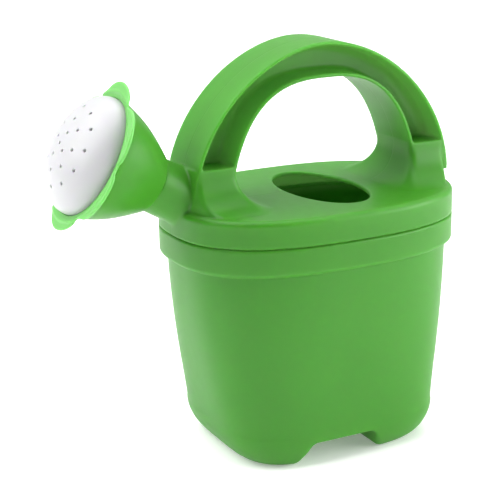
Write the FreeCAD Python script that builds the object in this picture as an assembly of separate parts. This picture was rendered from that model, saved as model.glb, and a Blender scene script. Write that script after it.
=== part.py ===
import FreeCAD
import Part
import math
import os

# Child-size watering can: castle-footed bucket, lift-off lid with arch handle and spout,
# and a flower-shaped rose with a domed sprinkler plate.
# Millimetres. Origin: middle of the base on the floor. +Z up, the spout points to -X.

# ---- bucket ----
RIM_HALF_LENGTH = 65.0       # along X, outside of the rim band
RIM_HALF_WIDTH = 47.0        # along Y
RIM_SQUARENESS = 2.57        # exponent of the soft oval; 2 is an ellipse
SEAM_HEIGHT = 100.0          # top of the bucket, where the lid rests
BAND_HEIGHT = 12.0
BAND_STEP = 2.6              # the band stands this far proud of the wall
BASE_HALF_LENGTH = 50.8      # where the straight taper meets the rounded bottom
BASE_HALF_WIDTH = 41.2
BASE_SQUARENESS = 4.0
BASE_ROUND_HEIGHT = 15.0     # height of the rounded bottom edge
BASE_ROUND_LENGTH = 11.5     # how far the rounding pulls in along X
BASE_ROUND_WIDTH = 7.0       # and along Y
BASE_ROUND_FULLNESS = 1.8    # exponent of the rounding's curve; 2 is a quarter ellipse
WALL_BULGE = 1.6             # outward belly of the side wall at mid height
SECTION_HEIGHTS = (1.2, 3.5, 7.5, 15.0, 27.0, 42.0, 60.0, 80.0)   # where the wall's outline is set
WALL = 2.0
NOTCH_HALF_WIDTH = 16.0      # channel between the two feet, at its roof
NOTCH_FLARE = 2.4            # extra half width at the floor
NOTCH_HEIGHT = 10.8
NOTCH_CORNER = 3.0
BASE_SPLIT = 0.2             # the base is parted from the wall this far above the channel's inner roof
NOTCH_SHIFT = -4.6           # the channel lies a little towards the spout

# ---- lid ----
LID_HEIGHT = 12.0            # from the seam to the flat top
LID_EDGE_RADIUS = 2.4
LID_WALL = 2.0
SEAM_GROOVE = 0.5            # open line between lid and bucket, outer edge only
SEAM_GROOVE_DEPTH = 1.2
SKIRT_DEPTH = 9.0            # plug that goes down into the bucket mouth
SKIRT_WALL = 1.8
SKIRT_CLEARANCE = 0.3
FILL_HALF_LENGTH = 16.8      # filling hole, along X
FILL_HALF_WIDTH = 31.4       # along Y
FILL_OFFSET = 7.0            # the hole lies behind the middle

# ---- handle and its pedestals ----
HANDLE_SHIFT = 2.0           # the arch sits a little behind the middle
HANDLE_WIDTH = 29.4
ARCH_OUTER_HALF_SPAN = 62.2
ARCH_OUTER_RISE = 61.7
ARCH_OUTER_SPRING_RISE = 3.9  # the outer curve is widest this far above the lid's top
ARCH_OUTER_SQUARENESS = 1.85
ARCH_INNER_HALF_SPAN = 46.6
ARCH_INNER_RISE = 77.1
ARCH_INNER_SPRING_DROP = 26.5 # and the inner curve this far below it
ARCH_INNER_SQUARENESS = 2.7
FLANGE = 2.2                 # thickness of the outer and inner flanges
WEB = 2.6                    # middle web between the two side channels
PEDESTAL_HEIGHT = 17.4       # above the lid's top
PEDESTAL_INSET = 2.7         # behind the lid's outer edge
PEDESTAL_WALL = 2.2
PEDESTAL_FLARE = 17.0        # radius of the concave foot towards +Y and -Y
PEDESTAL_INNER_FLARE = 14.0  # radius of the concave foot towards the filling hole
PEDESTAL_LIP = 0.3           # upright edge at the foot of the flare

# ---- spout and rose, along an axis that rises towards -X ----
SPOUT_ANGLE = 29.2           # above horizontal, degrees
ROSE_REACH = 34.4            # centre of the petal ring, in front of the rim
ROSE_RISE = 26.4             # and above the lid's top
NECK_RADIUS = 11.7
NECK_DRAFT = 0.8             # the neck is this much wider at the lid
NECK_END = 29.6              # neck shoulder, measured back from the petal ring
SPIGOT_RADIUS = 9.7
SPIGOT_WALL = 1.6
SPIGOT_LENGTH = 12.0
SPIGOT_CLEARANCE = 0.06
SOCKET_WALL = 1.7
BELL_END_RADIUS = 12.7
BELL_BODY_RADIUS = 24.8      # the bell without its lip
BELL_LIP = 2.2               # the lip flares out this much more
BELL_LIP_SHARPNESS = 8       # exponent: how late the lip starts
BELL_WALL = 1.8
BELL_FRONT = 1.5             # bell mouth, behind the petal ring
PETALS = 6
PETAL_NOTCH_RADIUS = 27.4
PETAL_TIP_RADIUS = 32.5
PETAL_THICKNESS = 1.5
PETAL_FLARE = 1.2            # tips stand this far in front of the petals' roots
PETAL_SAG = 0.6              # how far the flare bows backwards
PLATE_RADIUS = 25.3
PLATE_BULGE = 13.9
PLATE_FORWARD = 0.3          # foot of the dome, in front of the petal ring
PLATE_WALL = 1.6
PLATE_RIM_CLEARANCE = 0.2
PLUG_RADIUS = 22.9           # the plate's plug inside the bell's mouth
PLUG_DEPTH = 4.0
PLUG_CLEARANCE = 0.06
PLATE_HOLE_RADIUS = 0.65
PLATE_HOLE_RINGS = ((5.4, 4, -25.0), (11.0, 8, -2.0), (17.2, 12, 5.0))   # radius, count, first angle

LID_TOP = SEAM_HEIGHT + LID_HEIGHT
BAND_BOTTOM = SEAM_HEIGHT - BAND_HEIGHT
PEDESTAL_TOP = LID_TOP + PEDESTAL_HEIGHT
ARCH_OUTER_SPRING = LID_TOP + ARCH_OUTER_SPRING_RISE
ARCH_INNER_SPRING = LID_TOP - ARCH_INNER_SPRING_DROP
ROSE_X = -RIM_HALF_LENGTH - ROSE_REACH
ROSE_Z = LID_TOP + ROSE_RISE
MOUTH_HALF_LENGTH = RIM_HALF_LENGTH - BAND_STEP - WALL
MOUTH_HALF_WIDTH = RIM_HALF_WIDTH - BAND_STEP - WALL
OUTLINE_POINTS = 48
FAR = 400.0

SPOUT = math.radians(SPOUT_ANGLE)
FORWARD = FreeCAD.Vector(-math.cos(SPOUT), 0, math.sin(SPOUT))
ROSE_CENTRE = FreeCAD.Vector(ROSE_X, 0, ROSE_Z)


# ---- outlines ----
def oval(half_length, half_width, squareness, z):
    """Soft oval wire at height z: |x/a|^n + |y/b|^n = 1."""
    points = []
    for step in range(OUTLINE_POINTS):
        angle = 2 * math.pi * step / OUTLINE_POINTS
        across = abs(math.cos(angle) / half_length) ** squareness
        along = abs(math.sin(angle) / half_width) ** squareness
        reach = (across + along) ** (-1.0 / squareness)
        points.append(FreeCAD.Vector(reach * math.cos(angle), reach * math.sin(angle), z))
    curve = Part.BSplineCurve()
    curve.interpolate(Points=points, PeriodicFlag=True)
    return Part.Wire(curve.toShape())


def prism(half_length, half_width, squareness, low, high):
    """Upright solid with a soft oval plan."""
    face = Part.Face(oval(half_length, half_width, squareness, low))
    return face.extrude(FreeCAD.Vector(0, 0, high - low))


def polygon(points):
    return Part.makePolygon(points + [points[0]])


def rim_prism(inset, low, high):
    return prism(RIM_HALF_LENGTH - inset, RIM_HALF_WIDTH - inset, RIM_SQUARENESS, low, high)


def mouth_prism(inset, low, high):
    return prism(MOUTH_HALF_LENGTH - inset, MOUTH_HALF_WIDTH - inset, RIM_SQUARENESS, low, high)


# ---- bucket ----
def bucket_section(z, inset):
    """Outline of the bucket's wall at height z, pulled in by inset."""
    top_length = RIM_HALF_LENGTH - BAND_STEP
    top_width = RIM_HALF_WIDTH - BAND_STEP
    if z >= BASE_ROUND_HEIGHT:
        rise = (z - BASE_ROUND_HEIGHT) / (SEAM_HEIGHT - BASE_ROUND_HEIGHT)
        belly = WALL_BULGE * math.sin(math.pi * rise)
        half_length = BASE_HALF_LENGTH + (top_length - BASE_HALF_LENGTH) * rise + belly
        half_width = BASE_HALF_WIDTH + (top_width - BASE_HALF_WIDTH) * rise + belly / 3
        squareness = BASE_SQUARENESS + (RIM_SQUARENESS - BASE_SQUARENESS) * rise ** 0.5
    else:
        drop = 1.0 - z / BASE_ROUND_HEIGHT
        pull = 1.0 - (1.0 - drop ** BASE_ROUND_FULLNESS) ** (1.0 / BASE_ROUND_FULLNESS)
        half_length = BASE_HALF_LENGTH - BASE_ROUND_LENGTH * pull
        half_width = BASE_HALF_WIDTH - BASE_ROUND_WIDTH * pull
        squareness = BASE_SQUARENESS
    return half_length - inset, half_width - inset, squareness


def bucket_body(inset, low, high):
    """Solid of the bucket's outer shape, pulled in by inset, from low to high."""
    heights = [low]
    for height in SECTION_HEIGHTS:
        if low + 0.5 < height + inset < high - 2.0:
            heights.append(height + inset)
    heights.append(high)
    wires = []
    for height in heights:
        shape_height = max(height - inset, 0.0)
        half_length, half_width, squareness = bucket_section(shape_height, inset)
        wires.append(oval(half_length, half_width, squareness, height))
    return Part.makeLoft(wires, True, True)


def notch(inset):
    """Channel through the base along Y, grown by inset."""
    roof = NOTCH_HEIGHT + inset
    top = NOTCH_HALF_WIDTH + inset
    bottom = NOTCH_HALF_WIDTH + NOTCH_FLARE + inset
    corners = [(-bottom, -1.0), (bottom, -1.0), (top, roof), (-top, roof)]
    wire = polygon([FreeCAD.Vector(NOTCH_SHIFT + x, -FAR, z) for x, z in corners])
    channel = Part.Face(wire).extrude(FreeCAD.Vector(0, 2 * FAR, 0))
    roof_edges = [e for e in channel.Edges if edge_runs_along_y(e) and e.CenterOfMass.z > roof - 0.1]
    return channel.makeFillet(NOTCH_CORNER, roof_edges)


def edge_runs_along_y(edge):
    start, end = edge.Vertexes[0].Point, edge.Vertexes[-1].Point
    return abs(end.y - start.y) > FAR


def bucket():
    outer = bucket_body(0.0, 0.0, SEAM_HEIGHT)
    band = rim_prism(0.0, BAND_BOTTOM, SEAM_HEIGHT)
    mouth_bottom = SEAM_HEIGHT - SKIRT_DEPTH - 1.0
    inner = bucket_body(WALL, WALL, mouth_bottom)
    inner = inner.fuse(mouth_prism(0.0, mouth_bottom, SEAM_HEIGHT + 1.0))
    inner = inner.cut(notch(WALL))
    shell = outer.cut(notch(0.0)).fuse(band).cut(inner)
    split = NOTCH_HEIGHT + WALL + BASE_SPLIT
    top_block = Part.makeBox(FAR, FAR, FAR, FreeCAD.Vector(-FAR / 2, -FAR / 2, split))
    return shell.common(top_block), shell.cut(top_block)


# ---- lid ----
def lid_shell():
    block = rim_prism(0.0, SEAM_HEIGHT, LID_TOP)
    top_edges = [e for e in block.Edges if e.CenterOfMass.z > LID_TOP - 0.1 and len(e.Vertexes) < 2]
    block = block.makeFillet(LID_EDGE_RADIUS, top_edges)
    groove = rim_prism(-1.0, SEAM_HEIGHT - 1.0, SEAM_HEIGHT + SEAM_GROOVE)
    groove = groove.cut(rim_prism(SEAM_GROOVE_DEPTH, SEAM_HEIGHT - 2.0, SEAM_HEIGHT + 1.0))
    skirt = mouth_prism(SKIRT_CLEARANCE, SEAM_HEIGHT - SKIRT_DEPTH, SEAM_HEIGHT + 1.0)
    throat = mouth_prism(SKIRT_CLEARANCE + SKIRT_WALL, SEAM_HEIGHT - SKIRT_DEPTH - 1.0, LID_TOP - LID_WALL)
    chamber = rim_prism(LID_WALL, SEAM_HEIGHT + LID_WALL, LID_TOP - LID_WALL)
    return block.cut(groove).fuse(skirt).cut(throat).cut(chamber)


def filling_hole(low, high):
    hole = prism(FILL_HALF_LENGTH, FILL_HALF_WIDTH, 2.0, low, high)
    hole.translate(FreeCAD.Vector(FILL_OFFSET, 0, 0))
    return hole


def concave_foot(waist, outward, flare, shrink):
    """Quarter arc, seen along X or Y, from a wall at waist out to the lid's top.

    Returns (offset, height) of its waist, knee and foot; shrink moves it into the wall.
    """
    centre_height = LID_TOP + PEDESTAL_LIP + flare
    centre = waist + outward * flare
    radius = flare + shrink
    diagonal = radius * math.sqrt(0.5)
    return ((centre - outward * radius, centre_height),
            (centre - outward * diagonal, centre_height - diagonal),
            (centre, centre_height - radius))


def flared_profile(shrink, low):
    """Extrusion along X whose two sides flare out in quarter arcs to the lid's top."""
    top = PEDESTAL_TOP - shrink
    edges = []
    for side in (1, -1):
        waist, knee, foot = concave_foot(side * HANDLE_WIDTH / 2, side, PEDESTAL_FLARE, shrink)
        waist, knee, foot = [FreeCAD.Vector(0, y, z) for y, z in (waist, knee, foot)]
        edges.append(Part.Arc(foot, knee, waist).toShape())
        edges.append(Part.makeLine(FreeCAD.Vector(0, foot.y, low), foot))
        if top > waist.z:
            edges.append(Part.makeLine(waist, FreeCAD.Vector(0, waist.y, top)))
    reach = HANDLE_WIDTH / 2 + PEDESTAL_FLARE
    edges.append(Part.makeLine(FreeCAD.Vector(0, reach, low), FreeCAD.Vector(0, -reach, low)))
    closing = HANDLE_WIDTH / 2 - shrink
    edges.append(Part.makeLine(FreeCAD.Vector(0, closing, top), FreeCAD.Vector(0, -closing, top)))
    face = Part.Face(Part.Wire(Part.__sortEdges__(edges)))
    face.translate(FreeCAD.Vector(-FAR, 0, 0))
    return face.extrude(FreeCAD.Vector(2 * FAR, 0, 0))


def inner_leg_x(side):
    """Where the arch's inner face stands at the pedestal's top, on side -1 or +1."""
    rise = (PEDESTAL_TOP - ARCH_INNER_SPRING) / ARCH_INNER_RISE
    reach = (1.0 - rise ** ARCH_INNER_SQUARENESS) ** (1.0 / ARCH_INNER_SQUARENESS)
    return HANDLE_SHIFT + side * ARCH_INNER_HALF_SPAN * reach


def pedestal_block(side, shrink, low):
    """Outer form of one pedestal from low up; shrink gives the hollow inside it."""
    top = PEDESTAL_TOP - shrink
    waist, knee, foot = concave_foot(inner_leg_x(side), -side, PEDESTAL_INNER_FLARE, shrink)
    waist, knee, foot = [FreeCAD.Vector(x, -FAR / 2, z) for x, z in (waist, knee, foot)]
    corners = [waist, FreeCAD.Vector(waist.x, waist.y, top), FreeCAD.Vector(side * FAR / 2, waist.y, top),
               FreeCAD.Vector(side * FAR / 2, waist.y, low), FreeCAD.Vector(foot.x, waist.y, low), foot]
    edges = [Part.Arc(foot, knee, waist).toShape()]
    for start, end in zip(corners, corners[1:]):
        edges.append(Part.makeLine(start, end))
    slab = Part.Face(Part.Wire(edges)).extrude(FreeCAD.Vector(0, FAR, 0))
    plan = rim_prism(PEDESTAL_INSET + shrink, low, PEDESTAL_TOP + 1.0)
    return slab.common(plan).common(flared_profile(shrink, low))


# ---- handle ----
def arch_curve(half_span, rise, spring, squareness, grow, y):
    """Half oval arch in the XZ plane, grown by grow."""
    points = []
    for step in range(OUTLINE_POINTS + 1):
        angle = math.pi * step / OUTLINE_POINTS
        across = abs(math.cos(angle) / (half_span + grow)) ** squareness
        along = abs(math.sin(angle) / (rise + grow)) ** squareness
        reach = (across + along) ** (-1.0 / squareness)
        points.append(FreeCAD.Vector(HANDLE_SHIFT + reach * math.cos(angle), y,
                                     spring + reach * math.sin(angle)))
    curve = Part.BSplineCurve()
    curve.interpolate(Points=points)
    return curve.toShape(), points[0], points[-1]


def arch_solid(outer, grow, half_width):
    """Slab under one arch curve, down below the pedestals, half_width to each side."""
    if outer:
        sizes = (ARCH_OUTER_HALF_SPAN, ARCH_OUTER_RISE, ARCH_OUTER_SPRING, ARCH_OUTER_SQUARENESS)
    else:
        sizes = (ARCH_INNER_HALF_SPAN, ARCH_INNER_RISE, ARCH_INNER_SPRING, ARCH_INNER_SQUARENESS)
    curve, right, left = arch_curve(*sizes, grow, -half_width)
    low = ARCH_INNER_SPRING - 5.0
    right_low = FreeCAD.Vector(right.x, right.y, low)
    left_low = FreeCAD.Vector(left.x, left.y, low)
    edges = [curve, Part.makeLine(left, left_low), Part.makeLine(left_low, right_low)]
    edges.append(Part.makeLine(right_low, right))
    return Part.Face(Part.Wire(edges)).extrude(FreeCAD.Vector(0, 2 * half_width, 0))


def handle_arch():
    half = HANDLE_WIDTH / 2
    arch = arch_solid(True, 0.0, half).cut(arch_solid(False, 0.0, half + 1.0))
    channel = arch_solid(True, -FLANGE, half + 1.0).cut(arch_solid(False, FLANGE, half + 2.0))
    web = Part.makeBox(2 * FAR, WEB, FAR, FreeCAD.Vector(-FAR, -WEB / 2, 0))
    arch = arch.cut(channel.cut(web))
    above = Part.makeBox(2 * FAR, FAR, FAR, FreeCAD.Vector(-FAR, -FAR / 2, PEDESTAL_TOP))
    return arch.common(above)


# ---- spout ----
def turned(profile):
    """Solid of revolution about the spout axis; profile holds (back, radius) pairs."""
    corners = [FreeCAD.Vector(radius, 0, -back) for back, radius in profile]
    solid = Part.Face(polygon(corners)).revolve(FreeCAD.Vector(0, 0, 0), FreeCAD.Vector(0, 0, 1), 360)
    return on_spout_axis(solid)


def on_spout_axis(shape):
    """Moves a shape built around +Z onto the spout axis at the rose's centre."""
    placed = shape.copy()
    turn = FreeCAD.Rotation(FreeCAD.Vector(0, 0, 1), FORWARD)
    placed.Placement = FreeCAD.Placement(ROSE_CENTRE, turn).multiply(placed.Placement)
    return placed


def axis_cylinder(radius, back_start, back_end):
    rod = Part.makeCylinder(radius, back_end - back_start, FreeCAD.Vector(0, 0, -back_end))
    return on_spout_axis(rod)


def axis_distance_to_x(x):
    """Distance back along the spout axis at which it reaches x."""
    return (x - ROSE_X) / math.cos(SPOUT)


def spout_neck(lid_forms):
    """Neck with its shoulder and the spigot that the rose turns on."""
    back_end = axis_distance_to_x(-RIM_HALF_LENGTH + 2 * LID_EDGE_RADIUS) + NECK_RADIUS
    wide = NECK_RADIUS + NECK_DRAFT
    outer = turned([(NECK_END, 0), (NECK_END, NECK_RADIUS), (back_end, wide), (back_end, 0)])
    for form in lid_forms:
        outer = outer.cut(form)
    outer = max(outer.Solids, key=front_reach)
    spigot = axis_cylinder(SPIGOT_RADIUS, NECK_END - SPIGOT_LENGTH, NECK_END + 0.5)
    return outer.fuse(spigot).cut(spout_bore()).removeSplitter()


def front_reach(solid):
    return solid.CenterOfMass.dot(FORWARD)


def spout_bore():
    back_end = axis_distance_to_x(inner_leg_x(-1) - PEDESTAL_WALL)
    return axis_cylinder(SPIGOT_RADIUS - SPIGOT_WALL, NECK_END - SPIGOT_LENGTH - 1.0, back_end)


def lid_moulding():
    """The lid, its two pedestals and the spout neck; together they are one moulding."""
    cover = lid_shell().cut(filling_hole(LID_TOP - 2 * LID_WALL, LID_TOP + 1.0))
    pedestals = []
    for side in (-1, 1):
        hollow = pedestal_block(side, PEDESTAL_WALL, LID_TOP - LID_WALL - 1.0)
        cover = cover.cut(hollow)
        pedestals.append(pedestal_block(side, 0.0, LID_TOP).cut(hollow))
    lid_form = rim_prism(0.0, SEAM_HEIGHT, LID_TOP)
    front_form = pedestal_block(-1, 0.0, LID_TOP)
    neck = spout_neck((lid_form, front_form, arch_solid(True, 0.0, HANDLE_WIDTH / 2)))
    bore = spout_bore()
    return cover.cut(bore), pedestals[0].cut(bore), pedestals[1], neck


# ---- rose ----
def bell_radius(back):
    """Outer radius of the bell: steep at the neck, nearly straight at the mouth."""
    rise = (NECK_END - back) / (NECK_END - BELL_FRONT)
    body = BELL_END_RADIUS + (BELL_BODY_RADIUS - BELL_END_RADIUS) * math.sin(rise * math.pi / 2)
    return body + BELL_LIP * rise ** BELL_LIP_SHARPNESS


def bell_form(inset, back_low, back_high):
    """Turned solid inside the bell's curve, pulled in by inset."""
    steps = 14
    points = []
    for step in range(steps + 1):
        back = back_high + (back_low - back_high) * step / steps
        points.append(FreeCAD.Vector(bell_radius(back) - inset, 0, -back))
    curve = Part.BSplineCurve()
    curve.interpolate(Points=points)
    start_axis = FreeCAD.Vector(0, 0, points[0].z)
    end_axis = FreeCAD.Vector(0, 0, points[-1].z)
    edges = [curve.toShape(), Part.makeLine(points[-1], end_axis)]
    edges.append(Part.makeLine(end_axis, start_axis))
    edges.append(Part.makeLine(start_axis, points[0]))
    face = Part.Face(Part.Wire(edges))
    solid = face.revolve(FreeCAD.Vector(0, 0, 0), FreeCAD.Vector(0, 0, 1), 360)
    return on_spout_axis(solid)


def rose_bell():
    outer = bell_form(0.0, BELL_FRONT, NECK_END)
    seat_depth = BELL_FRONT + PLUG_DEPTH + 1.0
    inner = bell_form(BELL_WALL, seat_depth, NECK_END - BELL_WALL)
    seat = axis_cylinder(PLUG_RADIUS + PLUG_CLEARANCE, 0.0, seat_depth)
    socket = axis_cylinder(SPIGOT_RADIUS + SPIGOT_CLEARANCE + SOCKET_WALL, NECK_END - SPIGOT_LENGTH, NECK_END)
    bore = axis_cylinder(SPIGOT_RADIUS + SPIGOT_CLEARANCE, NECK_END - SPIGOT_LENGTH - 1.0, NECK_END + 1.0)
    return outer.cut(inner).cut(seat).fuse(socket.common(outer)).cut(bore).removeSplitter()


def petal_outline():
    """Plan of the flower: one arc per petal through notch, tip and notch."""
    pitch = 2 * math.pi / PETALS
    edges = []
    for petal in range(PETALS):
        middle = petal * pitch
        ends = []
        for angle, radius in ((middle - pitch / 2, PETAL_NOTCH_RADIUS), (middle, PETAL_TIP_RADIUS),
                              (middle + pitch / 2, PETAL_NOTCH_RADIUS)):
            ends.append(FreeCAD.Vector(radius * math.cos(angle), radius * math.sin(angle), -FAR / 2))
        edges.append(Part.Arc(*ends).toShape())
    return Part.Face(Part.Wire(edges)).extrude(FreeCAD.Vector(0, 0, FAR))


def rose_petals():
    """Thin flared ring around the bell's mouth, cut to the flower's outline."""
    root = PLATE_RADIUS + PLATE_RIM_CLEARANCE
    lip = BELL_BODY_RADIUS + BELL_LIP
    tip = PETAL_TIP_RADIUS + 1.0
    front_root = -BELL_FRONT + PETAL_THICKNESS
    front = [FreeCAD.Vector(lip, 0, front_root),
             FreeCAD.Vector((lip + tip) / 2, 0, front_root + PETAL_FLARE / 2 - PETAL_SAG),
             FreeCAD.Vector(tip, 0, front_root + PETAL_FLARE)]
    back = [point - FreeCAD.Vector(0, 0, PETAL_THICKNESS) for point in front]
    inner = [FreeCAD.Vector(root, 0, back[0].z), FreeCAD.Vector(root, 0, front_root)]
    edges = [Part.makeLine(inner[0], inner[1]), Part.makeLine(inner[1], front[0])]
    edges.append(Part.Arc(*front).toShape())
    edges.append(Part.makeLine(front[2], back[2]))
    edges.append(Part.Arc(back[2], back[1], back[0]).toShape())
    edges.append(Part.makeLine(back[0], inner[0]))
    ring = Part.Face(Part.Wire(edges)).revolve(FreeCAD.Vector(0, 0, 0), FreeCAD.Vector(0, 0, 1), 360)
    return on_spout_axis(ring.common(petal_outline()))


def dome(radius, bulge):
    """Half ellipsoid bulging forwards from the plate's rim."""
    half = Part.makeSphere(1.0, FreeCAD.Vector(0, 0, 0), FreeCAD.Vector(0, 0, 1), 0, 90, 360)
    scale = FreeCAD.Matrix()
    scale.scale(FreeCAD.Vector(radius, radius, bulge))
    scale.move(FreeCAD.Vector(0, 0, PLATE_FORWARD))
    return half.transformGeometry(scale)


def plate_cylinder(radius, depth, top=PLATE_FORWARD):
    return Part.makeCylinder(radius, depth + top, FreeCAD.Vector(0, 0, -depth))


def rose_plate():
    """White dome with a rim that rests on the bell and a plug that goes into it."""
    seat_depth = BELL_FRONT + PLUG_DEPTH
    solid = dome(PLATE_RADIUS, PLATE_BULGE).fuse(plate_cylinder(PLATE_RADIUS, BELL_FRONT))
    solid = solid.fuse(plate_cylinder(PLUG_RADIUS, seat_depth))
    solid = solid.cut(dome(PLATE_RADIUS - PLATE_WALL, PLATE_BULGE - PLATE_WALL))
    solid = solid.cut(plate_cylinder(PLUG_RADIUS - PLATE_WALL, seat_depth + 1.0, PLATE_FORWARD + 1.0))
    drills = [plate_hole(0.0, 0.0)]
    for ring_radius, count, first in PLATE_HOLE_RINGS:
        for index in range(count):
            drills.append(plate_hole(ring_radius, math.radians(first + 360.0 * index / count)))
    for drill in drills:
        solid = solid.cut(drill)
    return on_spout_axis(solid.removeSplitter())


def plate_hole(ring_radius, angle):
    """Drill for one spray hole; angle 0 is towards -Y."""
    at = FreeCAD.Vector(ring_radius * math.sin(angle), -ring_radius * math.cos(angle), 0)
    return Part.makeCylinder(PLATE_HOLE_RADIUS, PLATE_BULGE + 2.0, at)


def length_middle(shapes):
    """X of the middle of the whole can's length, to a tenth of a millimetre."""
    box = Part.makeCompound(shapes).optimalBoundingBox(False, False)
    return round(box.Center.x, 1)


def main():
    os.makedirs("parts", exist_ok=True)
    wall, base = bucket()
    lid_cover, front_pedestal, rear_pedestal, neck = lid_moulding()
    nodes = {
        "bucket_wall": wall,
        "bucket_base": base,
        "lid_cover": lid_cover,
        "front_pedestal": front_pedestal,
        "rear_pedestal": rear_pedestal,
        "handle_arch": handle_arch(),
        "spout_neck": neck,
        "rose_bell": rose_bell(),
        "rose_petals": rose_petals(),
        "rose_plate": rose_plate(),
    }
    middle = length_middle(list(nodes.values()))
    for name, shape in nodes.items():
        shape.translate(FreeCAD.Vector(-middle, 0, 0))
        shape.exportStep("parts/" + name + ".step")
        print(name, shape.isValid(), len(shape.Solids), round(shape.Volume))


main()
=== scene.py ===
import math

import bpy
import numpy as np
from mathutils import Matrix, Vector


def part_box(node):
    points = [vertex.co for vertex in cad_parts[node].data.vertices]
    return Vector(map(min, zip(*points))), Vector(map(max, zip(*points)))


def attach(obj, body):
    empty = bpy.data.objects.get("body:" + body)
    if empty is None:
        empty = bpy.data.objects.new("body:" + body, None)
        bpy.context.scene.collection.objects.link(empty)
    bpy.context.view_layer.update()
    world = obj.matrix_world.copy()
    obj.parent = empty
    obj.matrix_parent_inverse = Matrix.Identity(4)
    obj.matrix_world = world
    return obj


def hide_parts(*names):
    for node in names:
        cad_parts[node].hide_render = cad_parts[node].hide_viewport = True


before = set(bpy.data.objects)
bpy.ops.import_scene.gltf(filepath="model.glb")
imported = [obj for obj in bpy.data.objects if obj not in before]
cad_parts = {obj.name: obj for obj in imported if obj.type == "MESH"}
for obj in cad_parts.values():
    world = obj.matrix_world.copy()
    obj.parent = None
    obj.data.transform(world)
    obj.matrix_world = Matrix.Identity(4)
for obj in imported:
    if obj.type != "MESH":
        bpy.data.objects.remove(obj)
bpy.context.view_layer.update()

# All shapes below are worked out in millimetres around the bucket's own axis,
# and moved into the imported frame, in metres, when their mesh is made.
MM = 0.001


def corners_mm(node):
    low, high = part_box(node)
    return low / MM, high / MM


lid_low, lid_high = corners_mm("lid_cover")
arch_low, arch_high = corners_mm("handle_arch")

CAN_X = (lid_low.x + lid_high.x) / 2      # the bucket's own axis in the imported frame
RIM_X, RIM_Y, RIM_N = lid_high.x - CAN_X, lid_high.y, 2.57
LID_TOP = lid_high.z
LID_HEIGHT = 12.0
SEAM = LID_TOP - LID_HEIGHT
BAND_HEIGHT = 12.0
BAND_BOTTOM = SEAM - BAND_HEIGHT
BAND_STEP = 2.6
WALL = 2.0
PEDESTAL_TOP = arch_low.z
STRAP_HALF = arch_high.y
HOLE_X, HOLE_HALF_X, HOLE_HALF_Y = 7.0, 16.8, 31.4
MOUTH_X, MOUTH_Y = RIM_X - BAND_STEP - WALL, RIM_Y - BAND_STEP - WALL
SKIRT_DEPTH, SKIRT_GAP, SKIRT_WALL = 9.0, 0.3, 1.8

to_frame = Matrix.Translation((CAN_X * MM, 0, 0))

SPOUT_ANGLE = math.radians(29.2)
ROSE_X, ROSE_Z = -99.4, 138.4
NECK_BACK, NECK_RADIUS = 29.6, 11.7
SPIGOT_RADIUS, SPIGOT_LENGTH, SPIGOT_WALL = 9.7, 12.0, 1.6


# ---- distance fields: negative inside; arrays broadcast ----
def oval(x, y, a, b, n):
    """Near distance to the soft oval |x/a|^n + |y/b|^n = 1."""
    across = np.abs(x) / a
    along = np.abs(y) / b
    total = np.maximum(across ** n + along ** n, 1e-6)
    size = total ** (1.0 / n)
    slope = np.sqrt((across ** (n - 1) / a) ** 2 + (along ** (n - 1) / b) ** 2) * size ** (1.0 - n)
    return (size - 1.0) / slope


def round_and(a, b, r):
    """Intersection whose edge has radius r."""
    return np.minimum(-r, np.maximum(a, b)) + np.hypot(np.maximum(a + r, 0), np.maximum(b + r, 0))


def round_or(a, b, r):
    """Union with a fillet of radius r."""
    return np.maximum(r, np.minimum(a, b)) - np.hypot(np.maximum(r - a, 0), np.maximum(r - b, 0))


def smooth_step(t):
    t = np.clip(t, 0.0, 1.0)
    return t * t * (3.0 - 2.0 * t)


def flare(outside, z, radius, foot):
    """Wall at outside = 0 that sweeps out in a concave quarter arc to the height foot."""
    centre = foot + radius
    arc = radius - np.hypot(outside - radius, z - centre)
    low = np.where(outside < radius, arc, z - foot)
    return np.where(z > centre, outside, low)


# ---- turning a field into a mesh ----
def cell_edges():
    corners = [(i, j, k) for i in (0, 1) for j in (0, 1) for k in (0, 1)]
    pairs = []
    for p in corners:
        for q in corners:
            if p < q and sum(abs(s - t) for s, t in zip(p, q)) == 1:
                pairs.append((np.array(p), np.array(q)))
    return corners, pairs


def surface_nets(field, low, high, pitch):
    """Quads where the field crosses zero, one vertex per grid cell that the surface passes."""
    counts = [int(math.ceil((b - a) / pitch)) + 1 for a, b in zip(low, high)]
    x, y, z = [low[i] + pitch * np.arange(counts[i]) for i in range(3)]
    values = field(x[:, None, None], y[None, :, None], z[None, None, :]).astype(np.float32)
    inside = values < 0
    corners, pairs = cell_edges()
    shape = [c - 1 for c in counts]
    number = np.zeros(shape, np.uint8)
    for i, j, k in corners:
        number += inside[i:i + shape[0], j:j + shape[1], k:k + shape[2]]
    active = (number > 0) & (number < 8)
    cells = np.argwhere(active)
    index = np.full(shape, -1, np.int64)
    index[active] = np.arange(len(cells))
    place = np.zeros((len(cells), 3))
    hits = np.zeros(len(cells))
    for p, q in pairs:
        first = values[tuple((cells + p).T)]
        second = values[tuple((cells + q).T)]
        crossed = (first < 0) != (second < 0)
        share = np.where(crossed, first / np.where(crossed, first - second, 1.0), 0.0)
        place += np.where(crossed[:, None], p + share[:, None] * (q - p), 0.0)
        hits += crossed
    points = np.array(low) + pitch * (cells + place / hits[:, None])
    quads = []
    for axis in range(3):
        quads.append(axis_quads(inside, index, axis))
    return points, np.concatenate(quads)


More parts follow.
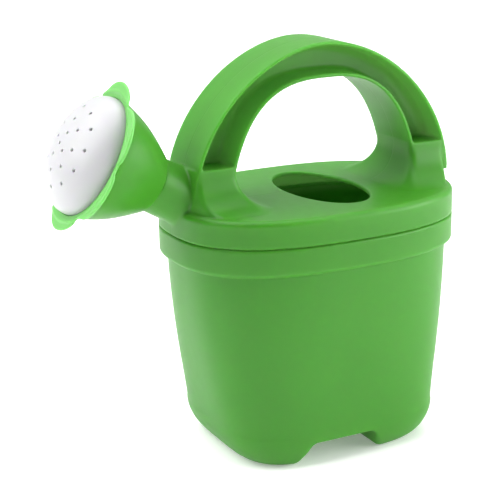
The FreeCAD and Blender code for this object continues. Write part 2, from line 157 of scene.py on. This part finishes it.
def axis_quads(inside, index, axis):
    b, c = (axis + 1) % 3, (axis + 2) % 3
    ahead = np.roll(inside, -1, axis)
    crossed = inside != ahead
    for side, cut in ((axis, -1), (b, 0), (b, -1), (c, 0), (c, -1)):
        edge = [slice(None)] * 3
        edge[side] = cut
        crossed[tuple(edge)] = False
    at = np.argwhere(crossed)
    step_b, step_c = np.eye(3, dtype=int)[b], np.eye(3, dtype=int)[c]
    around = (at - step_b - step_c, at - step_c, at, at - step_b)
    quad = np.stack([index[tuple(p.T)] for p in around], 1)
    outward = inside[tuple(at.T)]
    quad[~outward] = quad[~outward][:, ::-1]
    return quad


def onto_surface(points, field, pitch, rounds):
    """Moves points along the field's slope until they lie on the surface."""
    step = 0.02
    for _ in range(rounds):
        x, y, z = points.T
        value = field(x, y, z)
        slope = np.stack([field(x + step, y, z) - value, field(x, y + step, z) - value,
                          field(x, y, z + step) - value], 1) / step
        size = np.maximum((slope ** 2).sum(1), 0.05)
        move = slope * (value / size)[:, None]
        length = np.maximum(np.linalg.norm(move, axis=1), 1e-9)
        points = points - move * np.minimum(1.0, 0.7 * pitch / length)[:, None]
    return points


def evened(points, quads):
    """Each point at the average of its neighbours along the quads' edges."""
    total = np.zeros_like(points)
    count = np.zeros(len(points))
    for corner in range(4):
        here = quads[:, corner]
        for other in (quads[:, (corner + 1) % 4], quads[:, (corner + 3) % 4]):
            count += np.bincount(here, minlength=len(points))
            for axis in range(3):
                total[:, axis] += np.bincount(here, points[other, axis], len(points))
    return total / count[:, None]


def moulded(name, field, low, high, pitch, matrix):
    """Object with the surface of a field, sampled between two corners."""
    points, quads = surface_nets(field, low, high, pitch)
    points = onto_surface(points, field, pitch, 3)
    points = onto_surface(0.5 * points + 0.5 * evened(points, quads), field, pitch, 2)
    return mesh_object(name, points, quads, matrix)


def mesh_object(name, points, faces, matrix):
    """Smooth-shaded object from points in millimetres and equal-sized faces."""
    mesh = bpy.data.meshes.new(name)
    mesh.vertices.add(len(points))
    mesh.vertices.foreach_set("co", (np.asarray(points) * MM).astype(np.float32).ravel())
    sides = faces.shape[1]
    mesh.loops.add(faces.size)
    mesh.loops.foreach_set("vertex_index", faces.astype(np.int32).ravel())
    mesh.polygons.add(len(faces))
    mesh.polygons.foreach_set("loop_start", np.arange(0, faces.size, sides, dtype=np.int32))
    mesh.polygons.foreach_set("use_smooth", np.ones(len(faces), bool))
    mesh.update(calc_edges=True)
    mesh.validate()
    mesh.transform(matrix)
    piece = bpy.data.objects.new(name, mesh)
    bpy.context.scene.collection.objects.link(piece)
    return piece


# ---- bucket ----
BASE_X, BASE_Y, BASE_N = 50.8, 41.2, 4.0                    # outline where the rounded bottom starts
ROUND_Z, ROUND_X, ROUND_Y, ROUND_FULLNESS = 15.0, 11.5, 7.0, 1.8
BELLY = 1.6


def bucket_section(z):
    """Half length, half width and squareness of the wall's outline at height z."""
    top_x, top_y = RIM_X - BAND_STEP, RIM_Y - BAND_STEP
    rise = np.clip((z - ROUND_Z) / (SEAM - ROUND_Z), 0.0, 1.1)
    belly = BELLY * np.sin(math.pi * np.clip(rise, 0, 1))
    drop = np.clip(1.0 - z / ROUND_Z, 0.0, 1.0)
    pull = 1.0 - (1.0 - drop ** ROUND_FULLNESS) ** (1.0 / ROUND_FULLNESS)
    half_x = BASE_X + (top_x - BASE_X) * rise + belly - ROUND_X * pull
    half_y = BASE_Y + (top_y - BASE_Y) * rise + belly / 3 - ROUND_Y * pull
    return half_x, half_y, BASE_N + (RIM_N - BASE_N) * np.sqrt(rise)


def bucket_form(x, y, z, inset):
    """Near distance to the wall, with its lean in both directions taken into account."""
    half_x, half_y, n = bucket_section(z)
    next_x, next_y, _ = bucket_section(z + 0.1)
    lean_x = np.clip((next_x - half_x) / 0.1, -6.0, 6.0)
    lean_y = np.clip((next_y - half_y) / 0.1, -6.0, 6.0)
    half_x, half_y = half_x - inset, half_y - inset
    across, along = np.abs(x) / half_x, np.abs(y) / half_y
    part_x, part_y = across ** n, along ** n
    total = np.maximum(part_x + part_y, 1e-6)
    size = total ** (1.0 / n)
    gx = across ** (n - 1) / half_x * size / total
    gy = along ** (n - 1) / half_y * size / total
    gz = size / total * (part_x * lean_x / half_x + part_y * lean_y / half_y)
    return (size - 1.0) / np.sqrt(gx ** 2 + gy ** 2 + gz ** 2)


NOTCH_X, NOTCH_HALF, NOTCH_FLARE, NOTCH_TOP, NOTCH_CORNER = -4.6, 16.0, 2.4, 10.8, 3.0
NOTCH_SIDE_COSINE = 0.976


def notch_form(x, z, grow):
    """Channel between the two feet, grown by grow."""
    half = NOTCH_HALF + NOTCH_FLARE * (1.0 - z / NOTCH_TOP)
    side = (np.abs(x - NOTCH_X) - half) * NOTCH_SIDE_COSINE - grow
    return round_and(side, z - NOTCH_TOP - grow, NOTCH_CORNER)


def bucket_field(x, y, z):
    """Wall, rim band and hollow, with the channel cut through the base."""
    wall = np.maximum(bucket_form(x, y, z, 0.0), -z)
    # the channel's edge is crisp at its roof and well rounded at the soles
    corner = 0.45 + 3.2 * smooth_step((NOTCH_TOP - 1.5 - z) / 7.0)
    wall = round_and(wall, -notch_form(x, z, 0.0), corner)
    band = round_and(oval(x, y, RIM_X, RIM_Y, RIM_N), BAND_BOTTOM - z, 1.7)
    outer = round_or(wall, band, 0.7)
    outer = round_and(outer, z - SEAM, 0.35)
    inner = bucket_form(x, y, z - WALL, WALL)
    inner = round_and(np.maximum(inner, WALL - z), -notch_form(x, z, WALL), 2.0)
    mouth = np.maximum(oval(x, y, MOUTH_X, MOUTH_Y, RIM_N), SEAM - SKIRT_DEPTH - 1.0 - z)
    return np.maximum(outer, -np.minimum(inner, mouth))


# ---- lid with pedestals, handle and spout neck ----
LID_EDGE, LID_GROOVE, GROOVE_DEPTH = 2.4, 0.45, 1.2
ARCH_X = 2.0
INNER_LEG = 42.55                                            # inner face of each leg, from ARCH_X
OUTER_ARCH = 115.9, 62.2, 61.7, 1.85                         # springing height, half span, rise, squareness
INNER_ARCH = 85.5, 46.6, 77.1, 2.7
WEB_HALF, FLANGE_EDGE, FLANGE_ROOT = 2.0, 1.3, 2.2
PEDESTAL_INSET, FRONT_LEAN, PEDESTAL_WALL = 2.7, 3.0, 2.2
SIDE_FLARE, INNER_FLARE = 17.0, 14.0
ARCH_FOOT = 116.0                                            # the strap ends inside the pedestals
TOE = LID_TOP - 0.05                                         # the flares run out just under the lid's top


def pedestal_form(x, y, z, side):
    """Block under one foot of the handle; endless downwards."""
    inward = side * (ARCH_X - x) + INNER_LEG
    faces = flare(np.abs(y) - STRAP_HALF, z, SIDE_FLARE, TOE)
    faces = round_and(faces, flare(inward, z, INNER_FLARE, TOE), 2.6)
    lean = (z - LID_TOP) / (PEDESTAL_TOP - LID_TOP)
    inset = PEDESTAL_INSET + (FRONT_LEAN * np.clip(lean, 0, 1) if side < 0 else 0.0)
    outline = oval(x, y, RIM_X - inset, RIM_Y - inset, RIM_N)
    return round_and(faces, outline, 1.3)


def arch_curve(x, z, spring, half_span, rise, squareness):
    return oval(x - ARCH_X, np.maximum(z - spring, 0), half_span, rise, squareness)


def arch_form(x, y, z):
    """Strap with an open channel on each side of its middle web."""
    outer = arch_curve(x, z, *OUTER_ARCH)
    inner = arch_curve(x, z, *INNER_ARCH)
    slab = round_and(np.maximum(outer, -inner), np.abs(y) - STRAP_HALF, 0.55)
    slab = np.maximum(slab, ARCH_FOOT - z)
    flange = FLANGE_EDGE + (FLANGE_ROOT - FLANGE_EDGE) * (1.0 - np.abs(y) / STRAP_HALF)
    web = WEB_HALF - np.abs(y)
    channel = round_and(outer + flange, web, 4.0)
    channel = round_and(channel, flange - inner, 2.0)
    channel = round_and(channel, PEDESTAL_TOP - z, 1.5)
    return round_and(slab, -channel, 0.35)


def spout_axis(x, y, z):
    """Distance back from the petal ring along the spout, and distance from its axis."""
    ahead = -math.cos(SPOUT_ANGLE) * (x - ROSE_X) + math.sin(SPOUT_ANGLE) * (z - ROSE_Z)
    up = math.sin(SPOUT_ANGLE) * (x - ROSE_X) + math.cos(SPOUT_ANGLE) * (z - ROSE_Z)
    return -ahead, np.hypot(up, y)


NECK_DRAFT, NECK_REACH = 0.03, 50.0


def neck_form(x, y, z):
    back, radius = spout_axis(x, y, z)
    tube = radius - NECK_RADIUS - NECK_DRAFT * (back - NECK_BACK)
    tube = round_and(tube, NECK_BACK - back, 0.4)
    return np.maximum(tube, back - NECK_REACH)


def between(z, low, high):
    """Slab from height low to height high."""
    return np.maximum(low - z, z - high)


def cover_form(rim, mouth, z):
    """Flat cover with its open line above the bucket's rim, and the skirt that plugs the mouth."""
    cover = round_and(rim, z - LID_TOP, LID_EDGE)
    cover = round_and(cover, SEAM + LID_GROOVE - z, 0.3)
    seat = np.maximum(rim + GROOVE_DEPTH, between(z, SEAM + 0.02, SEAM + 3.0))
    skirt = np.maximum(mouth, between(z, SEAM - SKIRT_DEPTH, SEAM + 3.0))
    return np.minimum(np.minimum(cover, seat), skirt)


def lid_field(x, y, z):
    rim = oval(x, y, RIM_X, RIM_Y, RIM_N)
    mouth = oval(x, y, MOUTH_X - SKIRT_GAP, MOUTH_Y - SKIRT_GAP, RIM_N)
    lid = cover_form(rim, mouth, z)
    hollow = np.maximum(mouth + SKIRT_WALL, z - LID_TOP + WALL)
    hollow = np.minimum(hollow, np.maximum(rim + WALL, between(z, SEAM + WALL, LID_TOP - WALL)))
    for side in (-1, 1):
        block = pedestal_form(x, y, z, side)
        above = np.maximum(block, LID_TOP - 4.0 - z)
        lid = np.minimum(lid, round_and(above, z - PEDESTAL_TOP, 0.5))
        room = between(z, LID_TOP - 5.0, PEDESTAL_TOP - PEDESTAL_WALL)
        hollow = np.minimum(hollow, np.maximum(block + PEDESTAL_WALL, room))
    lid = round_or(lid, arch_form(x, y, z), 0.5)
    lid = round_or(lid, neck_form(x, y, z), 1.0)
    back, radius = spout_axis(x, y, z)
    spigot = np.maximum(radius - SPIGOT_RADIUS, between(back, NECK_BACK - SPIGOT_LENGTH, 40.0))
    lid = np.minimum(lid, spigot)
    bore = np.maximum(radius - SPIGOT_RADIUS + SPIGOT_WALL, back - 62.0)
    hole = np.maximum(oval(x - HOLE_X, y, HOLE_HALF_X, HOLE_HALF_Y, 2.0), np.abs(z - LID_TOP) - 6.0)
    lid = round_and(lid, -hole, 0.7)
    return np.maximum(lid, -np.minimum(hollow, bore))


# ---- rose ----
PETAL_TIP, PETAL_NOTCH = 32.5, 27.4
PLATE_RADIUS, PLATE_BULGE, PLATE_FOOT = 25.3, 13.9, 0.3


def rose_matrix():
    """From the rose's own axes (up, +Y, forward) to the can's frame."""
    up = Vector((math.sin(SPOUT_ANGLE), 0, math.cos(SPOUT_ANGLE)))
    forward = Vector((-math.cos(SPOUT_ANGLE), 0, math.sin(SPOUT_ANGLE)))
    turn = Matrix((up, Vector((0, 1, 0)), forward)).transposed().to_4x4()
    return to_frame @ Matrix.Translation(Vector((ROSE_X, 0, ROSE_Z)) * MM) @ turn


def bell_radius(back):
    """Outer radius of the bell: steep at the neck, nearly straight at the mouth."""
    rise = np.clip((NECK_BACK - back) / (NECK_BACK - 1.5), 0.0, 1.0)
    return 12.7 + 12.1 * np.sin(rise * math.pi / 2) + 2.2 * rise ** 8


def turned(name, profile, segments, matrix):
    """Closed ring of (back, radius) points turned about the rose's axis."""
    angles = 2 * math.pi * np.arange(segments) / segments
    profile = np.array(profile)
    count = len(profile)
    points = np.zeros((segments, count, 3))
    points[:, :, 0] = np.cos(angles)[:, None] * profile[:, 1]
    points[:, :, 1] = np.sin(angles)[:, None] * profile[:, 1]
    points[:, :, 2] = -profile[:, 0]
    here = np.arange(segments * count).reshape(segments, count)
    ahead = np.roll(here, -1, 0)
    faces = np.stack([here, np.roll(here, -1, 1), np.roll(ahead, -1, 1), ahead], 2)
    return mesh_object(name, points.reshape(-1, 3), faces.reshape(-1, 4), matrix)


def bell_profile():
    """Section of the bell with its lip, seat for the plate, and socket for the spigot."""
    back = np.linspace(NECK_BACK - 0.5, 1.9, 60)
    outer = [(NECK_BACK, 10.2), (NECK_BACK, 12.0), (NECK_BACK - 0.15, 12.55)]
    outer += [(b, float(bell_radius(b))) for b in back]
    lip = [(1.65, 26.85), (1.5, 26.5), (1.5, 25.0), (1.5, 22.96), (6.5, 22.96)]
    inner = [(b, float(bell_radius(b)) - 1.8) for b in np.linspace(6.6, NECK_BACK - 2.4, 30)]
    inner = [(b, max(r, 11.5)) for b, r in inner]
    socket = [(NECK_BACK - 2.2, 11.46), (17.8, 11.46), (17.6, 11.3), (17.6, 9.76), (NECK_BACK, 9.76)]
    return outer + lip + inner + socket


def petal_outline(a, b):
    """Distance to the six-petalled outline."""
    angle = np.arctan2(b, a)
    pitch = math.pi / 3
    local = angle - pitch * np.round(angle / pitch)
    radius = np.hypot(a, b)
    px, py = radius * np.cos(local), np.abs(radius * np.sin(local))
    notch_x, notch_y = PETAL_NOTCH * math.cos(pitch / 2), PETAL_NOTCH * math.sin(pitch / 2)
    centre = (PETAL_TIP ** 2 - notch_x ** 2 - notch_y ** 2) / (2 * (PETAL_TIP - notch_x))
    mine = np.hypot(px - centre, py) - (PETAL_TIP - centre)
    nx, ny = centre * math.cos(pitch), centre * math.sin(pitch)
    next_one = np.hypot(px - nx, py - ny) - (PETAL_TIP - centre)
    return round_or(mine, next_one, 0.6)


def petals_field(a, b, w):
    """Thin sheet with a raised ridge half-way out and tips that bend forwards."""
    radius = np.hypot(a, b)
    reach = np.clip((radius - 25.5) / (PETAL_TIP - 25.5), 0.0, 1.2)
    middle = -0.75 + 0.9 * reach ** 2 + 0.55 * np.exp(-((radius - 28.2) / 0.9) ** 2)
    sheet = np.abs(w - middle) - 0.62
    ring = round_and(petal_outline(a, b), sheet, 0.5)
    return np.maximum(ring, 25.5 - radius)


def dome_form(radius, w, size, bulge):
    """Near distance to half an ellipsoid that stands on the plate's foot."""
    flat = radius / size
    tall = (w - PLATE_FOOT) / bulge
    total = np.sqrt(np.maximum(flat ** 2 + tall ** 2, 1e-6))
    slope = np.sqrt((flat / size) ** 2 + (tall / bulge) ** 2) / total
    return (total - 1.0) / np.maximum(slope, 1e-4)


PLATE_WALL, PLUG_RADIUS, SPRAY_RADIUS = 1.6, 22.9, 0.65
HOLE_RINGS = ((5.4, 4, -25.0), (11.0, 8, -2.0), (17.2, 12, 5.0))       # radius, count, first angle


def plate_field(a, b, w):
    """Hollow dome with its rim, plug and spray holes."""
    radius = np.hypot(a, b)
    cap = np.maximum(dome_form(radius, w, PLATE_RADIUS, PLATE_BULGE), PLATE_FOOT - w)
    rim = np.maximum(radius - PLATE_RADIUS, np.abs(w + 0.6) - 0.9)
    plug = np.maximum(radius - PLUG_RADIUS, np.abs(w + 2.6) - 2.9)
    solid = np.minimum(np.minimum(cap, rim), plug)
    room = dome_form(radius, w, PLATE_RADIUS - PLATE_WALL, PLATE_BULGE - PLATE_WALL)
    room = np.maximum(room, PLATE_FOOT - w)
    room = np.minimum(room, np.maximum(radius - PLUG_RADIUS + PLATE_WALL, w - PLATE_FOOT - 0.5))
    solid = np.maximum(solid, -room)
    holes = radius - SPRAY_RADIUS
    for ring, count, first in HOLE_RINGS:
        for number in range(count):
            angle = math.radians(first + 360.0 * number / count)
            away = np.hypot(a - ring * math.sin(angle), b + ring * math.cos(angle))
            holes = np.minimum(holes, away - SPRAY_RADIUS)
    return round_and(solid, -np.maximum(holes, -w), 0.15)


# ---- materials ----
def parting_line(nodes, links, place, normal):
    """Fine raised line where the two halves of the mould met, in the mid plane."""
    split = nodes.new("ShaderNodeSeparateXYZ")
    links.new(place, split.inputs["Vector"])
    away = nodes.new("ShaderNodeMath")
    away.operation = "ABSOLUTE"
    links.new(split.outputs["Y"], away.inputs[0])
    ridge = nodes.new("ShaderNodeMapRange")
    ridge.interpolation_type = "SMOOTHSTEP"
    links.new(away.outputs["Value"], ridge.inputs["Value"])
    ridge.inputs["From Min"].default_value = 0.00012
    ridge.inputs["From Max"].default_value = 0.00045
    line = nodes.new("ShaderNodeBump")
    line.inputs["Strength"].default_value = 0.8
    line.inputs["Distance"].default_value = 0.0003
    links.new(ridge.outputs["Result"], line.inputs["Height"])
    links.new(normal, line.inputs["Normal"])
    return line.outputs["Normal"]


def satin_plastic(name, colour, shade, roughness, glow, depth, thinness, parted=False):
    """Moulded polyethylene: cloudy colour, fine skin texture, light bleeding just under the skin."""
    material = bpy.data.materials.new(name)
    material.use_nodes = True
    nodes, links = material.node_tree.nodes, material.node_tree.links
    shader = nodes["Principled BSDF"]
    place = nodes.new("ShaderNodeTexCoord").outputs["Object"]

    def noise(scale, detail):
        node = nodes.new("ShaderNodeTexNoise")
        node.inputs["Scale"].default_value = scale
        node.inputs["Detail"].default_value = detail
        links.new(place, node.inputs["Vector"])
        return node.outputs["Fac"]

    cloud = nodes.new("ShaderNodeMapRange")
    links.new(noise(38.0, 3.0), cloud.inputs["Value"])
    cloud.inputs["From Min"].default_value = 0.3
    cloud.inputs["From Max"].default_value = 0.7
    tint = nodes.new("ShaderNodeMix")
    tint.data_type = "RGBA"
    links.new(cloud.outputs["Result"], tint.inputs["Factor"])
    tint.inputs["A"].default_value = (*shade, 1)
    tint.inputs["B"].default_value = (*colour, 1)
    links.new(tint.outputs["Result"], shader.inputs["Base Color"])
    gloss = nodes.new("ShaderNodeMapRange")
    links.new(noise(220.0, 2.0), gloss.inputs["Value"])
    gloss.inputs["To Min"].default_value = roughness - 0.05
    gloss.inputs["To Max"].default_value = roughness + 0.07
    links.new(gloss.outputs["Result"], shader.inputs["Roughness"])
    skin = nodes.new("ShaderNodeBump")
    skin.inputs["Strength"].default_value = 0.12
    skin.inputs["Distance"].default_value = 0.0002
    links.new(noise(1600.0, 3.0), skin.inputs["Height"])
    sink = nodes.new("ShaderNodeBump")
    sink.inputs["Strength"].default_value = 0.15
    sink.inputs["Distance"].default_value = 0.0006
    links.new(noise(70.0, 1.0), sink.inputs["Height"])
    links.new(skin.outputs["Normal"], sink.inputs["Normal"])
    normal = sink.outputs["Normal"]
    if parted:
        normal = parting_line(nodes, links, place, normal)
    links.new(normal, shader.inputs["Normal"])
    shader.inputs["IOR"].default_value = 1.5
    shader.inputs["Subsurface Weight"].default_value = glow
    shader.inputs["Subsurface Radius"].default_value = (0.5, 1.0, 0.3)
    shader.inputs["Subsurface Scale"].default_value = depth
    shader.inputs["Specular IOR Level"].default_value = 0.4
    through = nodes.new("ShaderNodeBsdfTranslucent")
    through.inputs["Color"].default_value = (*[value ** 0.25 for value in colour], 1)
    blend = nodes.new("ShaderNodeMixShader")
    blend.inputs["Fac"].default_value = thinness
    links.new(shader.outputs["BSDF"], blend.inputs[1])
    links.new(through.outputs["BSDF"], blend.inputs[2])
    links.new(blend.outputs["Shader"], nodes["Material Output"].inputs["Surface"])
    return material


GREEN = (0.066, 0.325, 0.020), (0.060, 0.305, 0.017)
green = satin_plastic("leaf_green", *GREEN, 0.36, 0.8, 0.005, 0.32)
lid_green = satin_plastic("lid_leaf_green", *GREEN, 0.36, 0.8, 0.005, 0.32, parted=True)
light_green = satin_plastic("petal_green", (0.17, 0.52, 0.12), (0.155, 0.49, 0.11), 0.34, 0.5, 0.003, 0.15)
white = satin_plastic("plate_white", (0.54, 0.54, 0.555), (0.52, 0.52, 0.535), 0.30, 0.25, 0.002, 0.1)


# ---- the pieces ----
def finished(piece, material, body, slot, *nodes):
    """Gives a piece its material and its moving body, and hides the nodes that it stands for. The slot is
    not used.
    """
    piece.data.materials.clear()
    piece.data.materials.append(material)
    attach(piece, body)
    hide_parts(*nodes)


bucket = moulded("bucket", bucket_field, (-67, -49, -1.5), (67, 49, 101.5), 0.8, to_frame)
finished(bucket, green, "bucket", "bucket_green", "bucket_wall", "bucket_base")

lid = moulded("lid", lid_field, (-92, -49, 89.5), (67, 49, 179), 0.7, to_frame)
finished(lid, lid_green, "lid", "lid_green", "lid_cover", "front_pedestal", "rear_pedestal", "handle_arch",
         "spout_neck")

to_can = rose_matrix()
bell = turned("bell", bell_profile(), 128, to_can)
finished(bell, green, "rose", "rose_green", "rose_bell")
petals = moulded("petals", petals_field, (-34, -34, -2.5), (34, 34, 3.0), 0.4, to_can)
finished(petals, light_green, "rose", "petal_green", "rose_petals")
plate = moulded("sprinkler_plate", plate_field, (-26.5, -26.5, -6.5), (26.5, 26.5, 15.2), 0.4, to_can)
finished(plate, white, "sprinkler", "plate_white", "rose_plate")


# ---- stage, lights and camera ----
def floor():
    mesh = bpy.data.meshes.new("floor")
    mesh.from_pydata([(-6, -6, 0), (6, -6, 0), (6, 6, 0), (-6, 6, 0)], [], [(0, 1, 2, 3)])
    sheet = bpy.data.objects.new("floor", mesh)
    bpy.context.scene.collection.objects.link(sheet)
    paper = bpy.data.materials.new("white_paper")
    paper.use_nodes = True
    shader = paper.node_tree.nodes["Principled BSDF"]
    shader.inputs["Base Color"].default_value = (0.93, 0.93, 0.93, 1)
    shader.inputs["Roughness"].default_value = 0.9
    shader.inputs["Specular IOR Level"].default_value = 0.0
    shader.inputs["Emission Color"].default_value = (1, 1, 1, 1)
    shader.inputs["Emission Strength"].default_value = 0.22
    mesh.materials.append(paper)


def softbox(name, place, aim, size, power):
    light = bpy.data.lights.new(name, "AREA")
    light.shape = "RECTANGLE"
    light.size, light.size_y = size
    light.energy = power
    box = bpy.data.objects.new(name, light)
    turn = (Vector(aim) - Vector(place)).to_track_quat("-Z", "Y").to_matrix().to_4x4()
    box.matrix_world = to_frame @ Matrix.Translation(place) @ turn
    bpy.context.scene.collection.objects.link(box)


floor()
MIDDLE = (0, 0, 0.09)
softbox("softbox_right", (1.15, -0.85, 0.45), MIDDLE, (1.4, 1.2), 26)
softbox("softbox_left", (-1.00, 0.30, 1.00), MIDDLE, (1.2, 1.2), 16)
softbox("softbox_top", (0.0, 0.3, 1.5), MIDDLE, (1.8, 1.8), 24)


def studio_world():
    """Even white room, darker in front of the can where the camera stands."""
    world = bpy.data.worlds.new("studio")
    bpy.context.scene.world = world
    world.use_nodes = True
    nodes, links = world.node_tree.nodes, world.node_tree.links
    facing = nodes.new("ShaderNodeVectorMath")
    facing.operation = "DOT_PRODUCT"
    links.new(nodes.new("ShaderNodeTexCoord").outputs["Generated"], facing.inputs[0])
    facing.inputs[1].default_value = (-0.40, -0.90, 0.15)
    room = nodes.new("ShaderNodeMapRange")
    room.interpolation_type = "SMOOTHSTEP"
    links.new(facing.outputs["Value"], room.inputs["Value"])
    room.inputs["From Min"].default_value = 0.15
    room.inputs["From Max"].default_value = 0.95
    room.inputs["To Min"].default_value = 0.85
    room.inputs["To Max"].default_value = 0.0
    links.new(room.outputs["Result"], nodes["Background"].inputs["Strength"])
    nodes["Background"].inputs["Color"].default_value = (1, 1, 1, 1)


studio_world()

AZIMUTH, DISTANCE, HEIGHT = -0.510, 0.5981, 0.26146
PITCH, YAW, ROLL = 0.288, 0.042, -0.020
SENSOR_WIDTH, LENS = 36.0, 101.34


def camera():
    data = bpy.data.cameras.new("camera")
    data.sensor_width = SENSOR_WIDTH
    data.lens = LENS
    data.clip_start, data.clip_end = 0.01, 50.0
    eye = bpy.data.objects.new("camera", data)
    turn = AZIMUTH + YAW
    level = Vector((-math.sin(turn), math.cos(turn), 0))
    ahead = level * math.cos(PITCH) - Vector((0, 0, 1)) * math.sin(PITCH)
    right = Vector((math.cos(turn), math.sin(turn), 0))
    up = right.cross(ahead)
    rolled_right = right * math.cos(ROLL) + up * math.sin(ROLL)
    rolled_up = -right * math.sin(ROLL) + up * math.cos(ROLL)
    basis = Matrix((rolled_right, rolled_up, -ahead)).transposed().to_4x4()
    place = Vector((math.sin(AZIMUTH) * DISTANCE, -math.cos(AZIMUTH) * DISTANCE, HEIGHT))
    eye.matrix_world = to_frame @ Matrix.Translation(place) @ basis
    bpy.context.scene.collection.objects.link(eye)
    bpy.context.scene.camera = eye


camera()
bpy.context.scene.view_settings.view_transform = "Standard"
